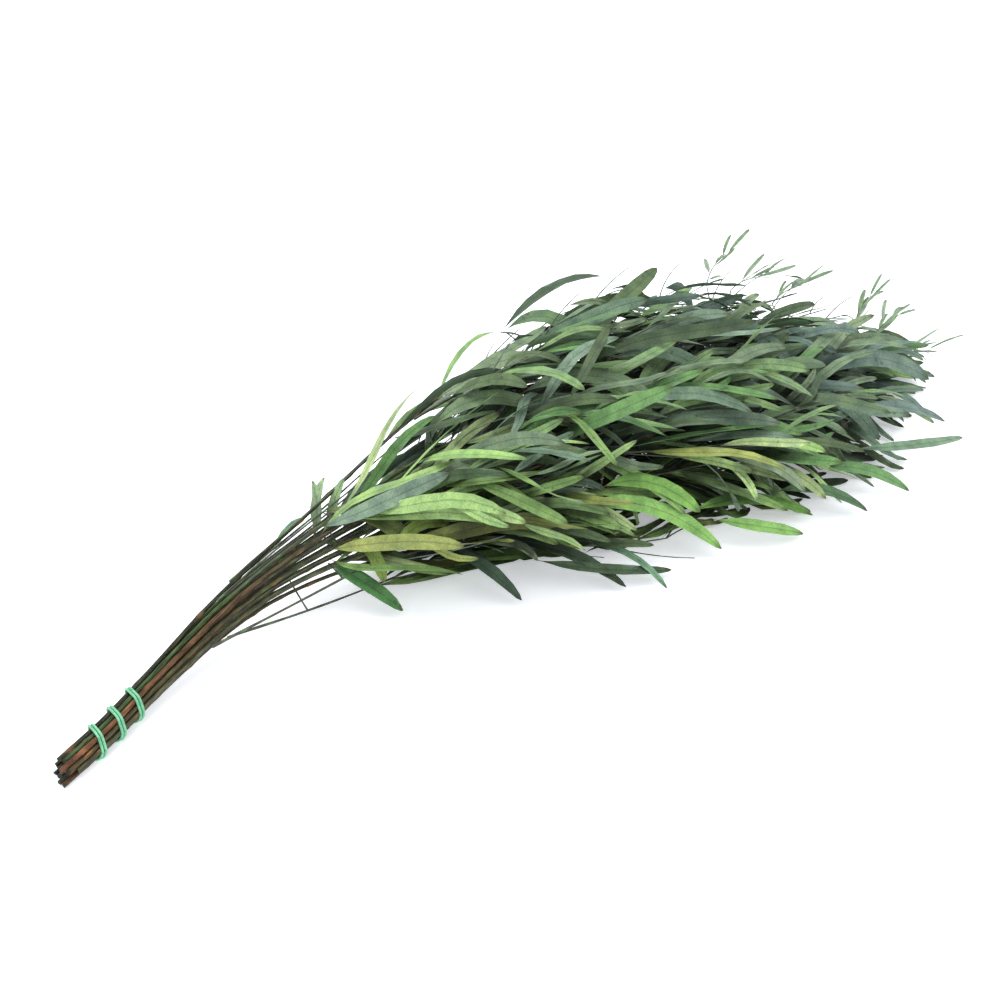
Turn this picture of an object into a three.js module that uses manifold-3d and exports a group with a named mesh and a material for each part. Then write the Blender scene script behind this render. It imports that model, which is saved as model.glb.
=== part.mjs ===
// A bunch of dried, preserved long-leaf eucalyptus that lies on a surface: woody stems held near
// their cut ends by one rubber band, and the leafy shoots that the stems carry.
//
// Units are millimetres. +X runs from the cut ends to the tips, +Z is up, and the origin is at
// the middle of the bunch's footprint, on the surface that it lies on.
//
// Every stem keeps its own lane through the bunch. A lane is a row, counted up from the lowest,
// and a place across that row. COURSE says where the bunch runs and how far apart its lanes and
// rows are there: packed tight under the band, and fanned out among the leaves.
import * as THREE from "three";
import { mergeVertices } from "three/addons/utils/BufferGeometryUtils.js";
import Module from "manifold-3d";

const wasm = await Module();
wasm.setup();

// Left between pieces that would touch.
const GAP = 0.3;

// The middle of the footprint, and the lowest point, in the coordinates that COURSE uses.
const FOOTPRINT = { x: 5, y: 6, z: 0.4 };

// Stations along the bunch: along it, sideways, the lowest row's height, then the spacing of the
// lanes and of the rows.
const COURSE = [
  [-388, -50.5, 2.7, 3.45, 3.15],
  [-345, -33.5, 4.9, 3.45, 3.15],
  [-315, -20, 7.8, 3.6, 3.3],
  [-290, -10.5, 11.5, 4.1, 3.9],
  [-255, 0, 17.5, 4.8, 5.1],
  [-215, 5, 24, 5.8, 7.2],
  [-165, 5, 28, 9, 11.5],
  [-100, 3, 28, 17, 18],
  [0, 0, 22, 28, 25],
  [100, 4, 16, 37, 25],
  [200, 8, 13, 45, 17],
  [340, 12, 10, 54, 10],
];

// Each stem's row and lane, its thickness at the cut, where its last leaf bud is, and the side
// shoots that leave it: to which side (1 is +Y), where, how long each is and what share of it is
// bare.
const STEMS = [
  { row: 0, lane: -1.5, thick: 2.85, tip: 185, shoots: [[-1, -256, 190, 0.5], [-1, -70, 130, 0]] },
  { row: 0, lane: -0.5, thick: 2.85, tip: 282, shoots: [[-1, -120, 130, 0], [1, 40, 130, 0]] },
  { row: 0, lane: 0.5, thick: 3.15, tip: 320, shoots: [[1, -130, 140, 0], [-1, 110, 130, 0]] },
  { row: 0, lane: 1.5, thick: 2.75, tip: 285, shoots: [[1, -60, 130, 0]] },
  { row: 1, lane: -2, thick: 2.95, tip: 140, shoots: [[-1, -270, 215, 0.55]] },
  { row: 1, lane: -1, thick: 3.15, tip: 262, shoots: [[-1, -150, 130, 0], [-1, 80, 130, 0]] },
  { row: 1, lane: 0, thick: 2.85, tip: 330, shoots: [[1, -100, 140, 0], [-1, 160, 120, 0]] },
  { row: 1, lane: 1, thick: 3.05, tip: 340, shoots: [[1, -20, 140, 0], [1, 160, 120, 0]] },
  { row: 1, lane: 2, thick: 2.85, tip: 275, shoots: [[1, -110, 130, 0], [1, 90, 130, 0]] },
  { row: 2, lane: -1.5, thick: 2.75, tip: 205, shoots: [[-1, -170, 120, 0], [-1, 0, 130, 0]] },
  { row: 2, lane: -0.5, thick: 3.15, tip: 290, shoots: [[-1, -40, 140, 0]] },
  { row: 2, lane: 0.5, thick: 2.85, tip: 326, shoots: [[1, -80, 140, 0], [-1, 120, 130, 0]] },
  { row: 2, lane: 1.5, thick: 3.05, tip: 262, shoots: [[1, -60, 130, 0]] },
  { row: 3, lane: -1, thick: 2.85, tip: 130, shoots: [[-1, -165, 120, 0]] },
  { row: 3, lane: 0, thick: 2.95, tip: 215, shoots: [[-1, -110, 130, 0], [1, 20, 140, 0]] },
  { row: 3, lane: 1, thick: 3.15, tip: 95, shoots: [[-1, -90, 120, 0]] },
];

// How far the topmost outer stem strays from its lane by its tip.
const STRAY = { stem: 15, from: -305, to: 60, aside: 18, up: 13 };

const TOP_ROW = 3;
const LOWEST_ROW_LIFT = -35; // how far above sideways a side shoot leaves, in degrees
const TOP_ROW_LIFT = 15;
const CUT_X = -382; // the longest stem's cut end
const CUT_STAGGER = 11; // how far back the shortest stem is cut
const STEM_END_SHARE = 0.55; // a stem's thickness where its tip shoot begins, as a share of the cut's
const TIP_SHOOT = 110; // length of the green shoot that ends each stem
const TWIG_RADIUS = 1.0; // where a shoot begins
const TWIG_END_RADIUS = 0.5;
const LEAVES_PER_SHOOT = 7;
const LONG_LEAF = 108; // at a shoot's foot
const SHORT_LEAF = 58; // at its tip
const LEAF_ASPECT = 0.125; // width over length
const LEAF_THICKNESS = 1.0;
const LOWEST_SPINE = 2.4; // how near the surface the middle of a leaf or twig may come
const TWIG_TRIES = 20;
const LEAF_TRIES = 9; // how many ways a leaf may be turned before it is left out
// Shoots that draw their leaves from a number this far past their place in the order.
const SEED_SHIFTS = { shoot_06_tip: 42, shoot_08_side_2: 42 };

const BAND = { x: -336, turns: 3, advance: 14.5, radius: 0.85, strandGap: 0.2, corner: 0.2 };

const degrees = THREE.MathUtils.degToRad;
const { lerp } = THREE.MathUtils;
const UP = new THREE.Vector3(0, 0, 1);

const wood = new THREE.MeshStandardMaterial({ color: 0x5a4a36, roughness: 0.8, metalness: 0 });
const foliage = new THREE.MeshStandardMaterial({ color: 0x61745a, roughness: 0.6, metalness: 0 });
const latex = new THREE.MeshStandardMaterial({ color: 0x4fbf8b, roughness: 0.5, metalness: 0 });

// A repeatable number from 0 to 1 for each pair (a, b).
function chance(a, b) {
  const v = Math.sin(a * 12.9898 + b * 78.233) * 43758.5453;
  return v - Math.floor(v);
}

// COURSE at x, on a smooth curve through its stations.
function course(x) {
  const last = COURSE.length - 2;
  let k = 0;
  while (k < last && x > COURSE[k + 1][0]) k += 1;
  const [before, from, to, after] = [k - 1, k, k + 1, k + 2].map(
    (n) => COURSE[Math.min(Math.max(n, 0), last + 1)],
  );
  const step = to[0] - from[0];
  const u = (x - from[0]) / step;
  return from.slice(1).map((value, n) => {
    const column = n + 1;
    const slopeIn = ((to[column] - before[column]) / (to[0] - before[0])) * step;
    const slopeOut = ((after[column] - from[column]) / (after[0] - from[0])) * step;
    const rise = to[column] - value;
    return (
      value +
      u * slopeIn +
      u * u * (3 * rise - 2 * slopeIn - slopeOut) +
      u * u * u * (slopeIn + slopeOut - 2 * rise)
    );
  });
}

// The point at a place across and up in the bunch's section at x. The section stands square to
// the bunch's own direction there.
function placeInBunch(x, across, up) {
  const [y, lowest] = course(x);
  const heading = Math.atan2(course(x + 1)[0] - course(x - 1)[0], 2);
  return new THREE.Vector3(
    x - Math.sin(heading) * across,
    y + Math.cos(heading) * across,
    lowest + up,
  );
}

// Stem n's centre line at x. Among the leaves each stem wanders a little within its lane.
function stemPoint(n, x) {
  const { row, lane } = STEMS[n];
  const [, , across, up] = course(x);
  const wander = 0.13 * Math.sin(x / 47 + 6.3 * chance(n, 1));
  const strays = n === STRAY.stem ? THREE.MathUtils.smoothstep(x, STRAY.from, STRAY.to) : 0;
  return placeInBunch(
    x,
    (lane + wander * (across / 50)) * across + strays * STRAY.aside,
    row * up + strays * STRAY.up,
  );
}

// A stem's centre line as a curve from one x to another.
class StemLine extends THREE.Curve {
  constructor(n, fromX, toX) {
    super();
    Object.assign(this, { n, fromX, toX });
  }
  getPoint(t) {
    return stemPoint(this.n, lerp(this.fromX, this.toX, t));
  }
}

// Turns a profile about a straight axis, then lays that axis along a curve. Across the curve the
// section is as the profile says, and up from it it is `flat` times that. It is turned about
// the curve by roll(t).
function limb(curve, profile, sides, flat = 1, roll = () => 0) {
  const shape = new THREE.LatheGeometry(profile, sides);
  const place = shape.getAttribute("position");
  const v = new THREE.Vector3();
  for (let i = 0; i < place.count; i += 1) {
    v.fromBufferAttribute(place, i);
    const along = curve.getTangent(v.y);
    const across = new THREE.Vector3().crossVectors(along, UP).normalize();
    across.applyAxisAngle(along, roll(v.y));
    const over = new THREE.Vector3().crossVectors(across, along);
    const at = curve.getPoint(v.y).addScaledVector(across, v.x).addScaledVector(over, v.z * flat);
    place.setXYZ(i, at.x, at.y, at.z);
  }
  return solid(shape);
}

// A closed surface as a solid.
function solid(geometry) {
  geometry.deleteAttribute("normal");
  geometry.deleteAttribute("uv");
  const merged = mergeVertices(geometry, 1e-4);
  return new wasm.Manifold(
    new wasm.Mesh({
      numProp: 3,
      vertProperties: new Float32Array(merged.getAttribute("position").array),
      triVerts: new Uint32Array(merged.index.array),
    }),
  );
}

// A tube that tapers from one radius to another, with flat ends.
function taperedTube(curve, radius, endRadius, sides, rings) {
  const profile = [new THREE.Vector2(0, 0)];
  for (let i = 0; i <= rings; i += 1) {
    profile.push(new THREE.Vector2(lerp(radius, endRadius, i / rings), i / rings));
  }
  profile.push(new THREE.Vector2(0, 1));
  return limb(curve, profile, sides);
}

// A unit vector from a heading about +Z and a pitch above the horizontal.
function direction(heading, pitch) {
  return new THREE.Vector3(
    Math.cos(pitch) * Math.cos(heading),
    Math.cos(pitch) * Math.sin(heading),
    Math.sin(pitch),
  );
}

const headingOf = (v) => Math.atan2(v.y, v.x);
const pitchOf = (v) => Math.asin(v.z / v.length());

// Height z as it becomes where the surface holds a leaf or twig up.
function restingHeight(z) {
  const softness = 6;
  return (z + LOWEST_SPINE + Math.hypot(z - LOWEST_SPINE, softness)) / 2;
}

// A curve that leaves `base` in one direction and ends in another, resting on the surface where
// it comes down to it.
function archedLine(base, length, heading, pitch, endHeading, endPitch) {
  const middle = base.clone().addScaledVector(direction(heading, pitch), length / 2);
  const end = middle.clone().addScaledVector(direction(endHeading, endPitch), length / 2);
  const free = new THREE.QuadraticBezierCurve3(base, middle, end);
  const points = free.getPoints(5).map((p, i) => (i ? p.setZ(restingHeight(p.z)) : p));
  return new THREE.CatmullRomCurve3(points);
}

// A leaf blade: pointed at both ends, with a ridge along its middle. `room` makes it that much
// larger all round. Near the surface the blade lies flat.
function blade(line, length, width, roll, room) {
  const half = [0.62, 1, 0.72].map((share) => (width / 2) * share + room);
  const profile = [new THREE.Vector2(0, 0)];
  half.forEach((w, i) => profile.push(new THREE.Vector2(w / Math.cos(degrees(30)), (i + 1) / 4)));
  profile.push(new THREE.Vector2(0, 1));
  const flat = (LEAF_THICKNESS + 2 * room) / (width + 2 * room);
  const settled = (t) => roll * (1 - Math.exp(-line.getPoint(t).z / 14));
  return limb(line, profile, 3, flat, settled);
}

// Everything placed so far, as { owner, solid, box }, for finding room for the next leaf.
const placed = [];

function boxesMeet(a, b) {
  return a.min.every((low, i) => low <= b.max[i] && b.min[i] <= a.max[i]);
}

function isClear(candidate, owner, alsoSkip) {
  const box = candidate.boundingBox();
  return placed.every(
    (other) =>
      other.owner === owner ||
      other.owner === alsoSkip ||
      !boxesMeet(box, other.box) ||
      candidate.intersect(other.solid).isEmpty(),
  );
}

function place(owner, made) {
  placed.push({ owner, solid: made, box: made.boundingBox() });
  return made;
}

function meshOf(name, made, material) {
  const { vertProperties, triVerts } = made.getMesh();
  const geometry = new THREE.BufferGeometry()
    .setAttribute("position", new THREE.BufferAttribute(vertProperties, 3))
    .setIndex(new THREE.BufferAttribute(triVerts, 1));
  geometry.computeVertexNormals();
  const mesh = new THREE.Mesh(geometry, material);
  mesh.name = name;
  return mesh;
}

const numbered = (n) => String(n + 1).padStart(2, "0");
const cutX = (n) => CUT_X + CUT_STAGGER * chance(n, 2);
const woodEndX = (n) => STEMS[n].tip - TIP_SHOOT;

function stemRadius(n, x) {
  const share = (x - CUT_X) / (woodEndX(n) - CUT_X);
  return (STEMS[n].thick / 2) * lerp(1, STEM_END_SHARE, share);
}

function stem(n) {
  const line = new StemLine(n, cutX(n), woodEndX(n));
  const rings = 15;
  return taperedTube(line, STEMS[n].thick / 2, stemRadius(n, woodEndX(n)), 6, rings);
}

// The twig that continues stem n.
function tipTwigLine(n) {
  return new StemLine(n, woodEndX(n) + GAP, STEMS[n].tip);
}

// 0, 1, -1, 2, -2 and so on: how far, and to which side, try number `attempt` turns.
const swing = (attempt) => (attempt % 2 ? 1 : -1) * Math.ceil(attempt / 2);

// The twig that leaves stem n at x. It starts beside the stem, GAP clear of it, and bends back
// towards the stem's own direction. Each try turns it further about the stem.
function sideTwigLine(n, side, x, length, attempt) {
  const foot = stemPoint(n, x);
  const along = stemPoint(n, x + 1).sub(foot).normalize();
  const lift = degrees(lerp(LOWEST_ROW_LIFT, TOP_ROW_LIFT, STEMS[n].row / TOP_ROW) + 14 * swing(attempt));
  const out = new THREE.Vector3().crossVectors(UP, along).normalize().multiplyScalar(side);
  out.applyAxisAngle(along, side * lift);
  foot.addScaledVector(out, stemRadius(n, x) + TWIG_RADIUS + GAP);
  const open = degrees(20) * side * Math.cos(lift);
  const heading = headingOf(along);
  const pitch = pitchOf(along);
  return archedLine(
    foot,
    length,
    heading + open,
    pitch + Math.sin(lift) * degrees(24),
    heading + open * 0.5,
    pitch - degrees(8),
  );
}

// One leaf of a shoot. Leaves leave the twig by turns to its left and right, point forward and
// droop. Each try turns the leaf further from where it would first go, and makes it shorter.
function leaf({ line, seed, bare }, j, room, attempt) {
  const last = j + 1 === LEAVES_PER_SHOOT;
  const share = last ? 0.97 : lerp(0.08, 0.88, j / (LEAVES_PER_SHOOT - 2));
  const t = lerp(bare, 1, share);
  const along = line.getTangent(t);
  const length =
    lerp(LONG_LEAF, SHORT_LEAF, share) *
    lerp(0.88, 1.12, chance(seed, j + 10)) *
    (1 - 0.02 * attempt);
  const left = degrees(lerp(8, 30, chance(seed, j + 30)));
  const right = -degrees(lerp(10, 28, chance(seed, j + 30)));
  const turn = last ? 0 : j % 2 ? left : right;
  const heading = headingOf(along) + turn + degrees(11 * swing(attempt) - 6);
  const pitch = pitchOf(along) + degrees(lerp(-8, 10, chance(seed, j + 50)) + 5 * swing(attempt));
  const sickle = degrees(lerp(-24, 8, chance(seed, j + 70)));
  const droop = degrees(lerp(14, 40, chance(seed, j + 90)));
  const roll = degrees(lerp(-50, 50, chance(seed, j + 110)) + 9 * swing(attempt));
  const spine = archedLine(line.getPoint(t), length, heading, pitch, heading + sickle, pitch - droop);
  return blade(spine, length, length * LEAF_ASPECT, roll, room);
}

// The outline that a stretched band takes round the packed stems, as points across and up.
function bandOutline() {
  const reach = BAND.radius + BAND.corner + GAP;
  const [, , across, up] = course(BAND.x);
  const steps = 60;
  const outline = [];
  for (let k = 0; k < steps; k += 1) {
    const angle = (k / steps) * 2 * Math.PI;
    const away = new THREE.Vector2(Math.cos(angle), Math.sin(angle));
    const touches = STEMS.map(({ row, lane, thick }) =>
      new THREE.Vector2(lane * across, row * up).addScaledVector(away, thick / 2 + reach),
    );
    outline.push(touches.reduce((far, p) => (p.dot(away) > far.dot(away) ? p : far)));
  }
  return outline;
}

// The band is one loop laid double: it winds round the stems, turns back at its end, and
// winds back beside itself.
function rubberBand() {
  const outline = bandOutline().map((p) => new THREE.Vector3(p.x, p.y, 0));
  const around = new THREE.CatmullRomCurve3(outline, true, "centripetal");
  const strands = BAND.radius + BAND.strandGap / 2;
  const stepsPerTurn = 32;
  const steps = BAND.turns * stepsPerTurn;
  const startTurn = 0.72; // on the underside
  const strand = (offset) =>
    Array.from({ length: steps + 1 }, (_, k) => {
      const turns = k / stepsPerTurn;
      const p = around.getPointAt((turns + startTurn) % 1);
      const x = BAND.x - BAND.advance * (turns - BAND.turns / 2);
      const [, lowest] = course(x);
      const slack = Math.exp(-Math.min(k, steps - k) / 2) * 0.9;
      const at = placeInBunch(x, p.x, p.y);
      at.x += offset * (strands + slack);
      return at.setZ(Math.max(at.z, BAND.radius));
    });
  const route = [...strand(-1), ...strand(1).reverse()];
  const loop = new THREE.CatmullRomCurve3(route, true, "centripetal");
  return solid(new THREE.TubeGeometry(loop, 2 * steps + 4, BAND.radius, 6, true));
}

const bunch = new THREE.Group();
bunch.position.set(-FOOTPRINT.x, -FOOTPRINT.y, -FOOTPRINT.z);

bunch.add(meshOf("rubber_band", place("rubber_band", rubberBand()), latex));

STEMS.forEach((_, n) => {
  const name = `stem_${numbered(n)}`;
  bunch.add(meshOf(name, place(name, stem(n)), wood));
});

// Each shoot's twig is placed before any leaf, in the first direction that clears the rest.
const twig = (line, room) =>
  taperedTube(line, TWIG_RADIUS + room, TWIG_END_RADIUS + room, 5, 5);

function growTwig(name, stemName, bare, lineOf) {
  for (let attempt = 0; attempt < TWIG_TRIES; attempt += 1) {
    const line = lineOf(attempt);
    if (isClear(twig(line, GAP), name, stemName) && isClear(twig(line, 0), name)) {
      return { name, line, bare, made: place(name, twig(line, 0)) };
    }
  }
  throw new Error(`${name} finds no room`);
}

const shoots = STEMS.flatMap(({ shoots: sides }, n) => {
  const stemName = `stem_${numbered(n)}`;
  const base = `shoot_${numbered(n)}`;
  return [
    growTwig(`${base}_tip`, stemName, 0, () => tipTwigLine(n)),
    ...sides.map(([side, x, length, bare], k) =>
      growTwig(`${base}_side_${k + 1}`, stemName, bare, (attempt) =>
        sideTwigLine(n, side, x, length, attempt),
      ),
    ),
  ];
});

// The shoots take turns to put out a leaf, and a leaf that finds no room is left out.
for (let j = 0; j < LEAVES_PER_SHOOT; j += 1) {
  shoots.forEach((shoot, seed) => {
    shoot.seed = seed + (SEED_SHIFTS[shoot.name] ?? 0);
    for (let attempt = 0; attempt < LEAF_TRIES; attempt += 1) {
      if (isClear(leaf(shoot, j, GAP, attempt), shoot.name)) {
        shoot.made = shoot.made.add(place(shoot.name, leaf(shoot, j, 0, attempt)));
        break;
      }
    }
  });
}
shoots.forEach(({ name, made }) => bunch.add(meshOf(name, made, foliage)));

export default bunch;
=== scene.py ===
import math
import random

import bpy
import numpy as np
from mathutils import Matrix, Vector
from mathutils.bvhtree import BVHTree


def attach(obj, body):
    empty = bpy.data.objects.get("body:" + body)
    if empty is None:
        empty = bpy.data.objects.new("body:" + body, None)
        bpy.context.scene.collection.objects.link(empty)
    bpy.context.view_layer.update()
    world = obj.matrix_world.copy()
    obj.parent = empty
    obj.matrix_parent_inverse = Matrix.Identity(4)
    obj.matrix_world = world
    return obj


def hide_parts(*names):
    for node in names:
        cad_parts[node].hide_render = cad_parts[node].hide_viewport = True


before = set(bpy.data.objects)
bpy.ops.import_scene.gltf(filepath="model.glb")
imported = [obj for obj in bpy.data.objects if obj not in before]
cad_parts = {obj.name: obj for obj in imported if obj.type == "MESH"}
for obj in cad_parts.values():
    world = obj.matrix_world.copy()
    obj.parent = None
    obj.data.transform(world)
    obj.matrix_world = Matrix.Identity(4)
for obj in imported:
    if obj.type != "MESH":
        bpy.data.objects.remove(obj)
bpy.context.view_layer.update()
bpy.ops.object.select_all(action="DESELECT")


# ------------------------------------------------------------------------------ woody stems
# Sixteen cut stems of narrow-leaved eucalyptus, preserved in glycerine and dye, so that the bark
# stays supple and dark. They lie packed in rows where the band holds them and fan out towards
# their tips. Each was cut with secateurs, and keeps the scars of the leaves it has shed.

MM = 0.001
FOOTPRINT = np.array((5.0, 6.0, 0.4))  # the middle of the footprint in the stems' own plan, mm

# The bunch's course: x, the middle's y, the lowest row's height, the lane and row spacing, mm.
COURSE = np.array((
    (-388, -50.5, 2.7, 3.45, 3.15),
    (-345, -33.5, 4.9, 3.45, 3.15),
    (-315, -20, 7.8, 3.6, 3.3),
    (-290, -10.5, 11.5, 4.1, 3.9),
    (-255, 0, 17.5, 4.8, 5.1),
    (-215, 5, 24, 5.8, 7.2),
    (-165, 5, 28, 9, 11.5),
    (-100, 3, 28, 17, 18),
    (0, 0, 22, 28, 25),
    (100, 4, 16, 37, 25),
    (200, 8, 13, 45, 17),
    (340, 12, 10, 54, 10),
))

# Each stem's row, lane, thickness and tip x in mm, and its bark.
STEMS = (
    (0, -1.5, 2.85, 185, "brown"),
    (0, -0.5, 2.85, 282, "dark"),
    (0, 0.5, 3.15, 320, "olive"),
    (0, 1.5, 2.75, 285, "dark"),
    (1, -2.0, 2.95, 140, "grey"),
    (1, -1.0, 3.15, 262, "rust"),
    (1, 0.0, 2.85, 330, "dark"),
    (1, 1.0, 3.05, 340, "olive"),
    (1, 2.0, 2.85, 275, "dark"),
    (2, -1.5, 2.75, 205, "brown"),
    (2, -0.5, 3.15, 290, "rust"),
    (2, 0.5, 2.85, 326, "dark"),
    (2, 1.5, 3.05, 262, "olive"),
    (3, -1.0, 2.85, 130, "rust"),
    (3, 0.0, 2.95, 215, "green"),
    (3, 1.0, 3.15, 95, "dark"),
)
# The stem that strays from its lane: between which x, and how far aside and up it ends.
STRAY_STEM, STRAY_FROM, STRAY_TO, STRAY_ASIDE, STRAY_UP = 15, -305, 60, 18, 13
WANDER, WANDER_LENGTH = 0.13, 47  # as a share of a lane 50 mm wide, and how fast it changes
CUT_X, CUT_STAGGER = -382, 11
CUT_SLANT, CUT_REACH = (8, 28), 1.5  # in degrees, and how far up the stem the slant shows
STEM_END_SHARE = 0.55  # a stem's thickness at its end, against its thickness at the cut
TIP_SHOOT = 110  # the green shoot that ends each stem
STEM_SIDES, STEM_CUTS, STEM_STATIONS = 12, (15, 9), 90
STEM_SWELL, RIPPLE, RIPPLE_LENGTHS = 1.05, 0.05, (9, 23)
FIRST_SCAR, SCAR_SPACING, SCAR_REACH = (6, 20), (9, 32), 2.6
SCAR_RING, SCAR_SIZE = 0.05, (0.12, 0.40)  # as shares of the stem's radius
TABLE_GAP = 0.15  # the least height of anything over the table

# Two colours for each bark, near the cut and further up.
BARKS = {
    "dark": ("#33372a", "#3a4531"),
    "olive": ("#475036", "#51623d"),
    "green": ("#43603a", "#52733f"),
    "grey": ("#565343", "#545a46"),
    "brown": ("#5d4a34", "#484a34"),
    "rust": ("#8a573a", "#4f4b35"),
}
BARK_FADE = 190  # how far from the cut a bark reaches its second colour
PATCH_COLOURS, PATCH_SHARE = ("#6b7d4a", "#54442f", "#2b3324"), 0.45
PATCH_LENGTHS, PATCH_TURN = (11, 19), 41
SCAR_COLOUR, SCAR_SHARE = "#a8764a", 0.75


def linear(hex_colour):
    """An sRGB hex colour as linear red, green, blue and alpha."""
    parts = [int(hex_colour[k:k + 2], 16) / 255 for k in (1, 3, 5)]
    return [p / 12.92 if p <= 0.04045 else ((p + 0.055) / 1.055) ** 2.4 for p in parts] + [1.0]


def clamped(value):
    """A value held between 0 and 1."""
    return min(max(value, 0), 1)


def smooth(u):
    """A share from 0 to 1 that starts and ends gently."""
    return u * u * (3 - 2 * u)


def chance(a, b):
    """A repeatable number from 0 to 1 for each pair."""
    v = math.sin(a * 12.9898 + b * 78.233) * 43758.5453
    return v - math.floor(v)


def course(x):
    """The bunch's course at x, on a smooth curve through its stations."""
    last = len(COURSE) - 2
    k = 0
    while k < last and x > COURSE[k + 1][0]:
        k += 1
    before, start, end, after = (COURSE[min(max(n, 0), last + 1)] for n in (k - 1, k, k + 1, k + 2))
    step = end[0] - start[0]
    u = (x - start[0]) / step
    slope_in = (end - before) / (end[0] - before[0]) * step
    slope_out = (after - start) / (after[0] - start[0]) * step
    rise = end - start
    value = start + u * slope_in + u ** 2 * (3 * rise - 2 * slope_in - slope_out)
    return (value + u ** 3 * (slope_in + slope_out - 2 * rise))[1:]


def in_bunch(x, across, up):
    """A place across and up in the bunch's section at x, in mm."""
    y, lowest, _, _ = course(x)
    heading = math.atan2(course(x + 1)[0] - course(x - 1)[0], 2)
    place = np.array((x - math.sin(heading) * across, y + math.cos(heading) * across, lowest + up))
    return place - FOOTPRINT


def stem_point(n, x):
    """Stem n's middle at x. Among the leaves each stem wanders a little within its lane."""
    row, lane = STEMS[n][:2]
    _, _, lane_spacing, row_spacing = course(x)
    wander = WANDER * math.sin(x / WANDER_LENGTH + 6.3 * chance(n, 1)) * lane_spacing / 50
    across, up = (lane + wander) * lane_spacing, row * row_spacing
    if n == STRAY_STEM:
        strayed = smooth(clamped((x - STRAY_FROM) / (STRAY_TO - STRAY_FROM)))
        across += strayed * STRAY_ASIDE
        up += strayed * STRAY_UP
    return in_bunch(x, across, up)


def lay(route, share, across, over, roll=0.0):
    """Lays points on a route: each is given by its share along, and by mm across and over."""
    along = np.gradient(route, axis=0)
    along /= np.linalg.norm(along, axis=1, keepdims=True)
    side = np.cross(along, (0, 0, 1))
    side /= np.linalg.norm(side, axis=1, keepdims=True)
    up = np.cross(side, along)
    turn = np.broadcast_to(roll, len(route))[:, None]
    side, up = side * np.cos(turn) + up * np.sin(turn), up * np.cos(turn) - side * np.sin(turn)
    stations = np.linspace(0, 1, len(route))
    at_route, at_side, at_up = (
        np.stack([np.interp(share, stations, table[:, k]) for k in range(3)], axis=1)
        for table in (route, side, up)
    )
    return at_route + across[:, None] * at_side + over[:, None] * at_up


def pick(piece, kind, wanted):
    """Selects the vertices, edges or polygons of a piece that pass a test, in edit mode."""
    bpy.ops.object.mode_set(mode="OBJECT")
    mesh = piece.data
    kinds = ("vertices", "edges", "polygons")
    for each in kinds:
        group = getattr(mesh, each)
        group.foreach_set("select", [False] * len(group))
    bpy.context.tool_settings.mesh_select_mode = [kind == each for each in kinds]
    for item in getattr(mesh, kind):
        item.select = bool(wanted(item))
    bpy.ops.object.mode_set(mode="EDIT")


def cut_along(piece, cuts):
    """Cuts every edge that runs lengthwise, along Y, into cuts + 1 pieces."""
    points = piece.data.vertices

    def lengthwise(edge):
        start, end = (points[v].co.y for v in edge.vertices)
        return abs(start - end) > 1e-4

    pick(piece, "edges", lengthwise)
    bpy.ops.mesh.subdivide(number_cuts=cuts)


def rod_blank(name, sides, cuts):
    """A straight rod along Y from 0 to 1, of radius 1, cut along its length."""
    bpy.ops.mesh.primitive_cylinder_add(vertices=sides, radius=1, depth=1, end_fill_type="NGON")
    blank = bpy.context.object
    blank.name = name
    blank.rotation_euler = (math.radians(-90), 0, 0)
    blank.location = (0, 0.5, 0)
    bpy.ops.object.transform_apply(location=True, rotation=True, scale=True)
    bpy.ops.object.mode_set(mode="EDIT")
    for each in cuts:
        cut_along(blank, each)
    return blank


def points_of(mesh):
    """A mesh's points as an array."""
    points = np.empty(len(mesh.vertices) * 3)
    mesh.vertices.foreach_get("co", points)
    return points.reshape(-1, 3)


def note(mesh, name, kind, values, domain="POINT"):
    """Writes one value for each point or face of a mesh, for its material to read."""
    attribute = mesh.attributes.new(name, kind, domain)
    field = {"FLOAT": "value", "FLOAT_VECTOR": "vector", "FLOAT_COLOR": "color"}[kind]
    attribute.data.foreach_set(field, np.ravel(values))


def copy_of(blank, name, points):
    """A copy of a blank with a mesh of its own, its points at new places in mm."""
    piece = bpy.data.objects.new(name, blank.data.copy())
    piece.data.name = name
    piece.data.vertices.foreach_set("co", np.ravel(points) * MM)
    bpy.context.scene.collection.objects.link(piece)
    return piece


def add_node(material, kind, inputs=None, stops=None, **settings):
    """Adds one shader node with its settings, and fills its sockets with values or links.

    A node given as a value stands for its first output in use.
    """
    made = material.node_tree.nodes.new("ShaderNode" + kind)
    for name, value in settings.items():
        setattr(made, name, value)
    for socket, value in (inputs or {}).items():
        if isinstance(value, bpy.types.Node):
            value = next(output for output in value.outputs if output.enabled)
        if isinstance(value, bpy.types.NodeSocket):
            material.node_tree.links.new(value, made.inputs[socket])
        else:
            made.inputs[socket].default_value = value
    for k, (position, colour) in enumerate(stops or ()):
        stop = made.color_ramp.elements[k] if k < 2 else made.color_ramp.elements.new(position)
        stop.position = position
        stop.color = colour
    return made


def new_material(name):
    """An empty node material."""
    material = bpy.data.materials.new(name)
    material.use_nodes = True
    material.node_tree.nodes.clear()
    return material


def grey(level):
    """A grey that a colour is multiplied by, or that stands for a share."""
    return (level, level, level, 1)


# The settings of a Mix node that blends two colours, and of one that multiplies them.
BLEND = {"data_type": "RGBA"}
MULTIPLY = {"data_type": "RGBA", "blend_type": "MULTIPLY"}


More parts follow.
